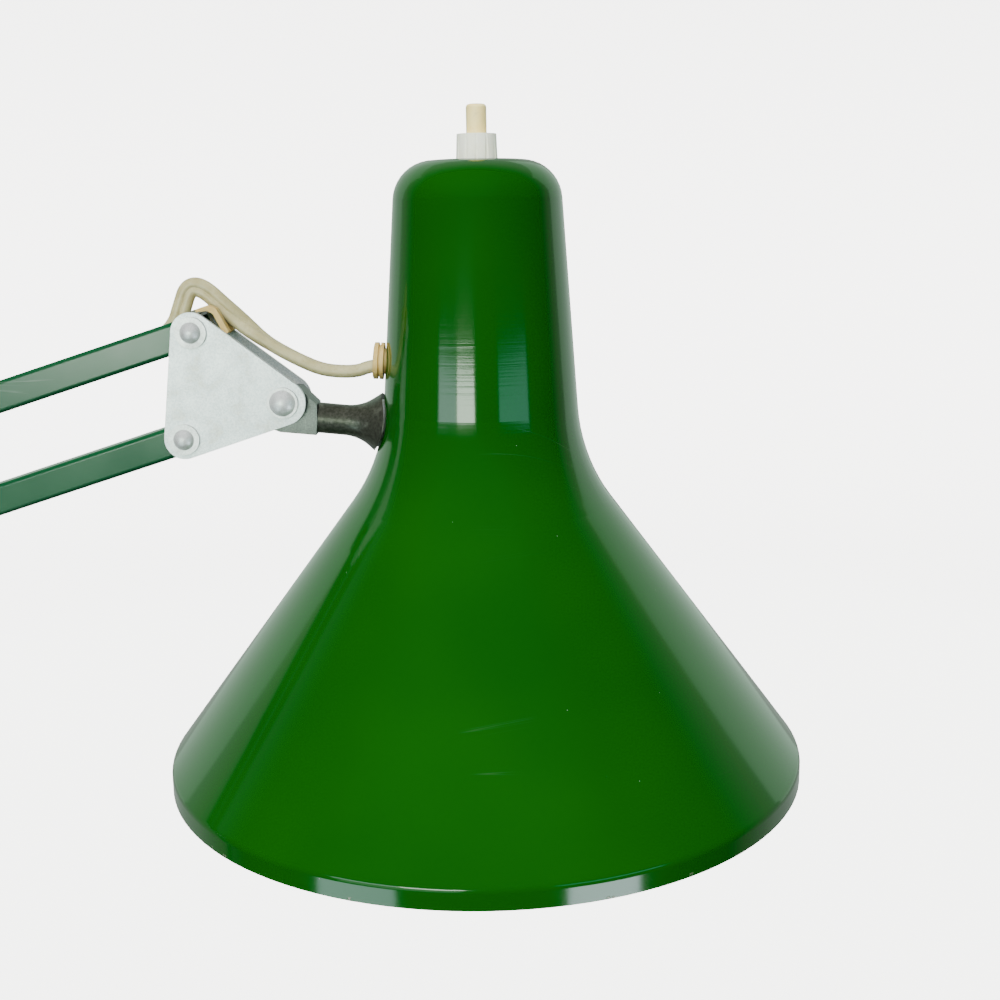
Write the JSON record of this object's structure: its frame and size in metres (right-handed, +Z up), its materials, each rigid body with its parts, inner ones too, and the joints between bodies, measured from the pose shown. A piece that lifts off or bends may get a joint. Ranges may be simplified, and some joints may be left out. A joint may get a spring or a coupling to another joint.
{
  "type": "swing arm desk lamp",
  "caption": "Desk lamp with a weighted round base, parallelogram arms balanced by springs and a tilting, swivelling conical shade with a push switch in its top.",
  "frame": {"origin": "centre of the base's underside, on the table", "axes": "+Z up, +X from the base towards the head, arms in the plane of X and Z"},
  "size_m": [0.5897, 0.19, 0.65],
  "materials": {
    "shade_enamel": "gloss",
    "tube_enamel": "gloss",
    "zinc_plate": "satin",
    "rivet_steel": "satin",
    "black_oxide": "satin",
    "spring_steel": "satin",
    "cream_plastic": "gloss",
    "yellowed_plastic": "satin",
    "flex_pvc": "satin",
    "cast_iron": "rough",
    "felt": "matte",
    "nylon": "matte",
    "black_plastic": "satin",
    "nickel": "polished",
    "brass": "satin",
    "opal_glass": "matte",
    "steatite": "matte"
  },
  "bodies": {
    "base": {"base_cover": "shade_enamel", "base_weight": "cast_iron", "felt_pad": "felt", "base_collar": "zinc_plate", "base_bush": "nylon", "strain_relief": "flex_pvc", "base_cord": "flex_pvc", "lead": "flex_pvc", "lead_coil": "flex_pvc", "lead_tail": "flex_pvc", "plug_body": "cream_plastic", "plug_pins": "nickel"},
    "fork": {"fork_stem": "zinc_plate", "fork_plate_near": "zinc_plate", "fork_plate_far": "zinc_plate", "fork_rivets": "rivet_steel", "fork_pivot_pins": "rivet_steel", "fork_washers": "nylon", "fork_spring_studs": "rivet_steel", "stem_nut": "zinc_plate", "fork_cord": "flex_pvc"},
    "lower_arm": {"lower_rear_tube": "tube_enamel", "lower_arm_cord": "flex_pvc"},
    "lower_link": {"lower_front_tube": "tube_enamel", "lower_spring_bolt": "rivet_steel"},
    "lower_spring": {"lower_springs": "spring_steel"},
    "lower_spring_end": {"lower_spring_hooks": "spring_steel"},
    "elbow": {"elbow_plate_near": "zinc_plate", "elbow_plate_far": "zinc_plate", "elbow_pivot_pins": "rivet_steel", "elbow_washers": "nylon", "elbow_spring_studs": "rivet_steel", "elbow_cord": "flex_pvc"},
    "upper_arm": {"upper_top_tube": "tube_enamel", "upper_arm_cord": "flex_pvc"},
    "upper_link": {"upper_bottom_tube": "tube_enamel", "upper_spring_bolt": "rivet_steel"},
    "upper_spring": {"upper_springs": "spring_steel"},
    "upper_spring_end": {"upper_spring_hooks": "spring_steel"},
    "head_bracket": {"head_plate_near": "zinc_plate", "head_plate_far": "zinc_plate", "head_pivot_pins": "rivet_steel", "nose_pivot_pin": "rivet_steel", "head_washers": "nylon", "cord_clip": "yellowed_plastic", "head_cord": "flex_pvc"},
    "knuckle": {"knuckle": "zinc_plate", "spigot_nut": "zinc_plate"},
    "head": {"ferrule": "black_oxide", "swivel_washer": "rivet_steel", "shade": "shade_enamel", "grommet": "cream_plastic", "holder_cap": "cream_plastic", "switch_nut": "cream_plastic", "button_spring": "spring_steel", "holder_insert": "steatite", "holder_skirt": "cream_plastic", "bulb_glass": "opal_glass", "bulb_cap": "brass"},
    "button": {"push_button": "cream_plastic"}
  },
  "joints": [
    {"name": "base_swivel", "type": "hinge", "parent": "base", "child": "fork", "pos_m": [0, 0, 0.05], "axis": [0, 0, 1], "range_deg": [-170, 170]},
    {"name": "lower_arm_pivot", "type": "hinge", "parent": "fork", "child": "lower_arm", "pos_m": [-0.0155, 0, 0.0798], "axis": [0, -1, 0], "range_deg": [-38, 27], "deforming": ["fork_cord"]},
    {"name": "lower_link_pivot", "type": "hinge", "parent": "fork", "child": "lower_link", "pos_m": [0.0155, 0, 0.0798], "axis": [0, -1, 0], "range_deg": [-39, 28]},
    {"name": "elbow_pivot", "type": "hinge", "parent": "lower_arm", "child": "elbow", "pos_m": [-0.1939, 0, 0.41532], "axis": [0, -1, 0], "range_deg": [-28, 39], "deforming": ["elbow_cord"]},
    {"name": "upper_arm_pivot", "type": "hinge", "parent": "elbow", "child": "upper_arm", "pos_m": [-0.17162, 0, 0.47209], "axis": [0, -1, 0], "range_deg": [-37, 32]},
    {"name": "upper_link_pivot", "type": "hinge", "parent": "elbow", "child": "upper_link", "pos_m": [-0.1754, 0, 0.44132], "axis": [0, -1, 0], "range_deg": [-38, 33]},
    {"name": "head_bracket_pivot", "type": "hinge", "parent": "upper_arm", "child": "head_bracket", "pos_m": [0.19556, 0, 0.58786], "axis": [0, -1, 0], "range_deg": [-33, 38]},
    {"name": "head_tilt", "type": "hinge", "parent": "head_bracket", "child": "knuckle", "pos_m": [0.22076, 0, 0.56736], "axis": [0, -1, 0], "range_deg": [-45, 55], "deforming": ["head_cord"]},
    {"name": "head_swivel", "type": "hinge", "parent": "knuckle", "child": "head", "pos_m": [0.23026, 0, 0.56196], "axis": [0.9945, 0, -0.1045], "range_deg": [-60, 60]},
    {"name": "switch_button", "type": "slide", "parent": "head", "child": "button", "axis": [0, 0, -1], "range_m": [0, 0.003], "stiffness_N_per_m": 400, "springref_m": -0.004, "deforming": ["button_spring"]},
    {"name": "lower_spring_pivot", "type": "hinge", "parent": "lower_link", "child": "lower_spring", "pos_m": [-0.05492, 0, 0.21224], "axis": [0, -1, 0], "range_deg": [-3.15, 2.33]},
    {"name": "lower_spring_stretch", "type": "slide", "parent": "lower_spring", "child": "lower_spring_end", "axis": [0.5047, 0, -0.8633], "range_m": [-0.0035, 0.0025], "deforming": ["lower_springs", "lower_spring_hooks"]},
    {"name": "upper_spring_pivot", "type": "hinge", "parent": "upper_link", "child": "upper_spring", "pos_m": [-0.05618, 0, 0.47891], "axis": [0, -1, 0], "range_deg": [-0.85, 0.78]},
    {"name": "upper_spring_stretch", "type": "slide", "parent": "upper_spring", "child": "upper_spring_end", "axis": [-0.9777, 0, -0.2099], "range_m": [-0.0064, 0.0074], "deforming": ["upper_springs", "upper_spring_hooks"]}
  ],
  "couplings": [
    {"joint": "lower_link_pivot", "follows": "lower_arm_pivot", "ratio": 1},
    {"joint": "elbow_pivot", "follows": "lower_arm_pivot", "ratio": -1},
    {"joint": "upper_link_pivot", "follows": "upper_arm_pivot", "ratio": 1},
    {"joint": "head_bracket_pivot", "follows": "upper_arm_pivot", "ratio": -1},
    {"joint": "lower_spring_pivot", "follows": "lower_arm_pivot", "ratio": 0.075},
    {"joint": "lower_spring_stretch", "follows": "lower_arm_pivot", "m_per_rad": 0.00475},
    {"joint": "upper_spring_pivot", "follows": "upper_arm_pivot", "ratio": 0.015},
    {"joint": "upper_spring_stretch", "follows": "upper_arm_pivot", "m_per_rad": -0.011}
  ]
}
